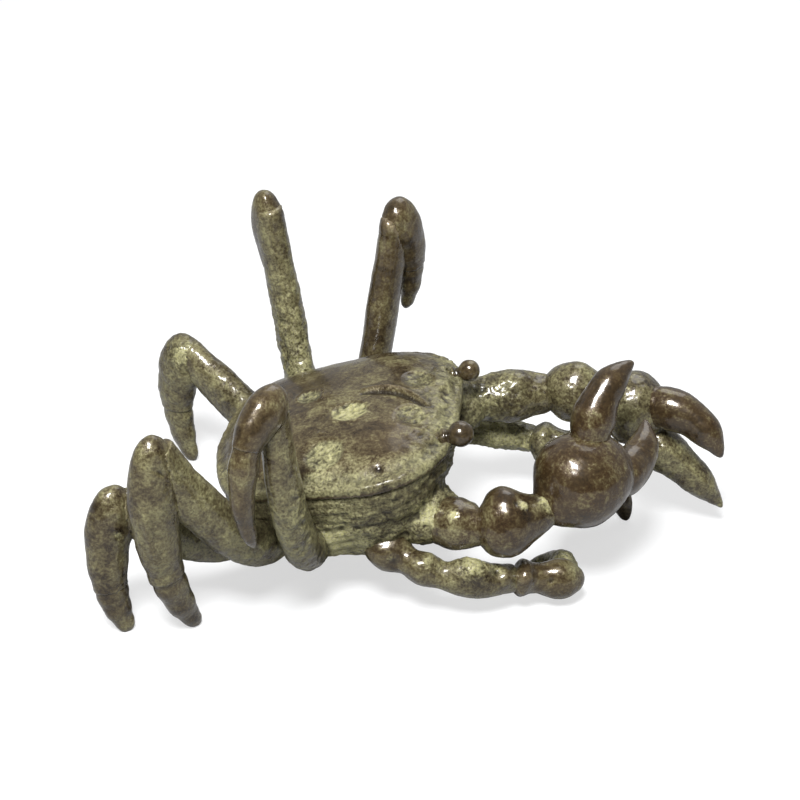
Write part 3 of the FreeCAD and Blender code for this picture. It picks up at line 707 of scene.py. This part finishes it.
# Brightness of the room before the figure and of the white wall behind it.
ROOM_LIGHT = 0.08
WALL_LIGHT = 0.42
floor_form = bmesh.new()
bmesh.ops.create_grid(floor_form, x_segments=1, y_segments=1, size=FLOOR_REACH)
floor_mesh = bpy.data.meshes.new("floor")
floor_form.to_mesh(floor_mesh)
floor_form.free()
floor = bpy.data.objects.new("floor", floor_mesh)
bpy.context.scene.collection.objects.link(floor)
floor_white = bpy.data.materials.new("floor_white")
floor_white.use_nodes = True
tree = floor_white.node_tree
tree.nodes.clear()
seen = add(tree, "LightPath").outputs
in_view = seen["Is Camera Ray"]
tint = blend_colours(tree, in_view, FLOOR_THROWN, FLOOR_SEEN)
paint = add(tree, "BsdfDiffuse", {"Color": tint})
glow = add(tree, "Emission", {"Color": (1, 1, 1, 1), "Strength": GLOW_LEVEL})
washed = add(tree, "MixShader", {"Fac": reckon(tree, "MULTIPLY", in_view, GLOW_SHARE),
                                 1: paint.outputs[0], 2: glow.outputs[0]})
out = add(tree, "OutputMaterial")
tree.links.new(washed.outputs[0], out.inputs["Surface"])
floor_mesh.materials.append(floor_white)

world = bpy.data.worlds.new("surrounding")
bpy.context.scene.world = world
world.use_nodes = True
tree = world.node_tree
tree.nodes.clear()
seen = add(tree, "LightPath").outputs
way = add(tree, "SeparateXYZ", {"Vector": add(tree, "TexCoord").outputs["Generated"]})
around = graded(tree, way.outputs["Y"], -0.35, 0.6, ROOM_LIGHT, WALL_LIGHT)
level = add(tree, "Mix", {0: seen["Is Camera Ray"], 2: around, 3: 1.0}, data_type="FLOAT")
air = add(tree, "Background", {"Color": (1, 1, 1, 1), "Strength": level.outputs[0]})
out = add(tree, "OutputWorld")
tree.links.new(air.outputs[0], out.inputs["Surface"])

CAMERA_SIDE = math.radians(5.5)
CAMERA_RISE = math.radians(30)
CAMERA_REACH = 0.3
CAMERA_LENS = 91.8
SENSOR_WIDTH = 36
NEAREST_SEEN = 10 * MM
AIM = Vector((-3.56, -1.25, 26.8)) * MM
# Each lamp's compass side and height in degrees, distance and width in metres, and watts.
LAMPS = {"front_lamp": (-6, 58, 0.5, 0.15, 5.0), "back_lamp": (165, 48, 0.6, 0.35, 0.8)}


def lamp(name, side, rise, reach, width, power):
    """A soft square lamp that faces the figure from a compass side and a height."""
    side = math.radians(side)
    rise = math.radians(rise)
    light = bpy.data.lights.new(name, "AREA")
    light.size = width
    light.energy = power
    holder = bpy.data.objects.new(name, light)
    bpy.context.scene.collection.objects.link(holder)
    away = Vector((math.sin(side) * math.cos(rise), -math.cos(side) * math.cos(rise),
                   math.sin(rise)))
    holder.location = AIM + away * reach
    holder.rotation_euler = away.to_track_quat("Z", "Y").to_euler()


for name, settings in LAMPS.items():
    lamp(name, *settings)
camera = bpy.data.cameras.new("camera")
camera.lens = CAMERA_LENS
camera.sensor_width = SENSOR_WIDTH
camera.clip_start = NEAREST_SEEN
viewer = bpy.data.objects.new("camera", camera)
bpy.context.scene.collection.objects.link(viewer)
away = Vector((math.sin(CAMERA_SIDE) * math.cos(CAMERA_RISE),
               -math.cos(CAMERA_SIDE) * math.cos(CAMERA_RISE), math.sin(CAMERA_RISE)))
viewer.location = AIM + away * CAMERA_REACH
viewer.rotation_euler = away.to_track_quat("Z", "Y").to_euler()
bpy.context.scene.camera = viewer
bpy.context.scene.view_settings.view_transform = "Standard"
